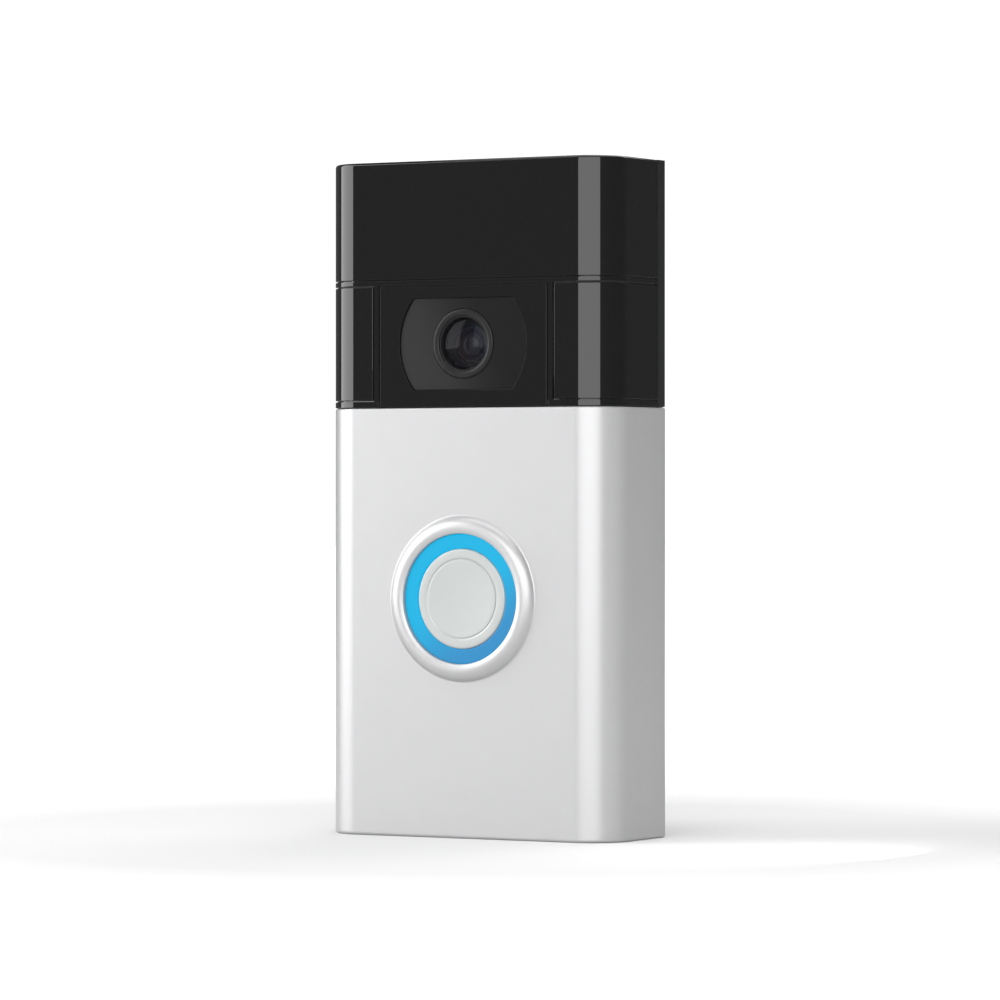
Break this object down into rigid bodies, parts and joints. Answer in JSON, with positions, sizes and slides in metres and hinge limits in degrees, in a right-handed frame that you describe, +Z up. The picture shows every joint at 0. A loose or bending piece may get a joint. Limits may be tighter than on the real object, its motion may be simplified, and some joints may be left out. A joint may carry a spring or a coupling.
{
  "type": "video doorbell",
  "caption": "Battery video doorbell: silver lower cover with a lit halo round the push button, gloss black camera and motion section, and a wall bracket that it hooks onto.",
  "frame": {"origin": "centre of the bounding box's base, on the surface that the doorbell stands on", "axes": "+Z up the doorbell, +Y from its front towards the wall, +X to the right seen from the front"},
  "size_m": [0.062, 0.028, 0.1265],
  "materials": {
    "silver_cover": "satin painted",
    "gloss_black": "polished",
    "black_plastic": "fine moulded texture",
    "smoked_window": "satin, infrared clear",
    "lens_bezel": "satin black anodised",
    "lens_glass": "coated",
    "halo_blue": "frosted, lit blue",
    "cap_silver": "satin",
    "white_plastic": "matt",
    "circuit_board": "solder mask",
    "chip_black": "matt epoxy",
    "lamp_lens": "clear lamp body",
    "steel": "plated",
    "brass": "turned",
    "copper_coil": "enamelled wire",
    "flat_cable": "polyimide film",
    "cell_wrap": "laminated foil",
    "foam": "closed cell",
    "rubber": "matt silicone",
    "lead_red": "insulation",
    "mesh_cloth": "acoustic mesh",
    "cone_paper": "pressed film",
    "setup_orange": "satin"
  },
  "bodies": {
    "bracket": {"mounting_bracket": "black_plastic", "security_screws": "steel"},
    "doorbell": {"faceplate": "silver_cover", "top_cover": "gloss_black", "side_cover_left": "gloss_black", "side_cover_right": "gloss_black", "camera_panel": "gloss_black", "camera_window": "smoked_window", "lens_bezel": "lens_bezel", "front_lens": "lens_glass", "lens_barrel": "lens_bezel", "inner_lenses": "lens_glass", "lens_holder": "black_plastic", "filter_motor": "copper_coil", "image_sensor": "chip_black", "sensor_board": "circuit_board", "infrared_board": "circuit_board", "infrared_leds": "lamp_lens", "motion_lens": "smoked_window", "motion_holder": "black_plastic", "motion_sensors": "steel", "motion_board": "circuit_board", "halo_light_guide": "halo_blue", "light_box": "white_plastic", "halo_board": "circuit_board", "halo_leds": "lamp_lens", "button_switch": "chip_black", "button_return_pad": "rubber", "front_frame": "gloss_black", "main_board": "circuit_board", "board_connector": "white_plastic", "shield_can": "steel", "radio_module": "steel", "antenna": "brass", "camera_ribbon": "flat_cable", "battery": "cell_wrap", "battery_pad": "foam", "battery_plug": "white_plastic", "battery_leads": "lead_red", "speaker_basket": "black_plastic", "speaker_magnet": "steel", "speaker_diaphragm": "cone_paper", "speaker_gasket": "rubber", "speaker_mesh": "mesh_cloth", "microphone": "brass", "mic_boot": "rubber", "housing_gasket": "rubber", "rear_housing": "black_plastic", "housing_screws": "steel", "port_board": "circuit_board", "usb_port": "steel", "setup_switch": "chip_black", "terminal_nuts": "brass", "terminal_screws": "steel"},
    "button": {"button_cap": "cap_silver", "switch_plunger": "brass"},
    "setup": {"setup_button": "setup_orange"},
    "filter": {"filter_carrier": "black_plastic", "filter_glasses": "lens_glass"},
    "drive": {"filter_rotor": "steel"}
  },
  "joints": [
    {"name": "lift_off", "type": "slide", "parent": "bracket", "child": "doorbell", "axis": [0, 0, 1], "range_m": [0, 0.0055]},
    {"name": "button_press", "type": "slide", "parent": "doorbell", "child": "button", "axis": [0, 1, 0], "range_m": [0, 0.0006], "stiffness_N_per_m": 1500, "springref_m": -0.0004},
    {"name": "setup_press", "type": "slide", "parent": "doorbell", "child": "setup", "axis": [0, -1, 0], "range_m": [0, 0.0005], "stiffness_N_per_m": 1200, "springref_m": -0.0004},
    {"name": "filter_turn", "type": "hinge", "parent": "doorbell", "child": "drive", "pos_m": [0, -0.001, 0.1046], "axis": [0, -1, 0], "range_deg": [0, 60]},
    {"name": "filter_slide", "type": "slide", "parent": "doorbell", "child": "filter", "axis": [1, 0, 0], "range_m": [0, 0.004]}
  ],
  "couplings": [
    {"joint": "filter_turn", "follows": "filter_slide", "rad_per_m": 261.8}
  ]
}
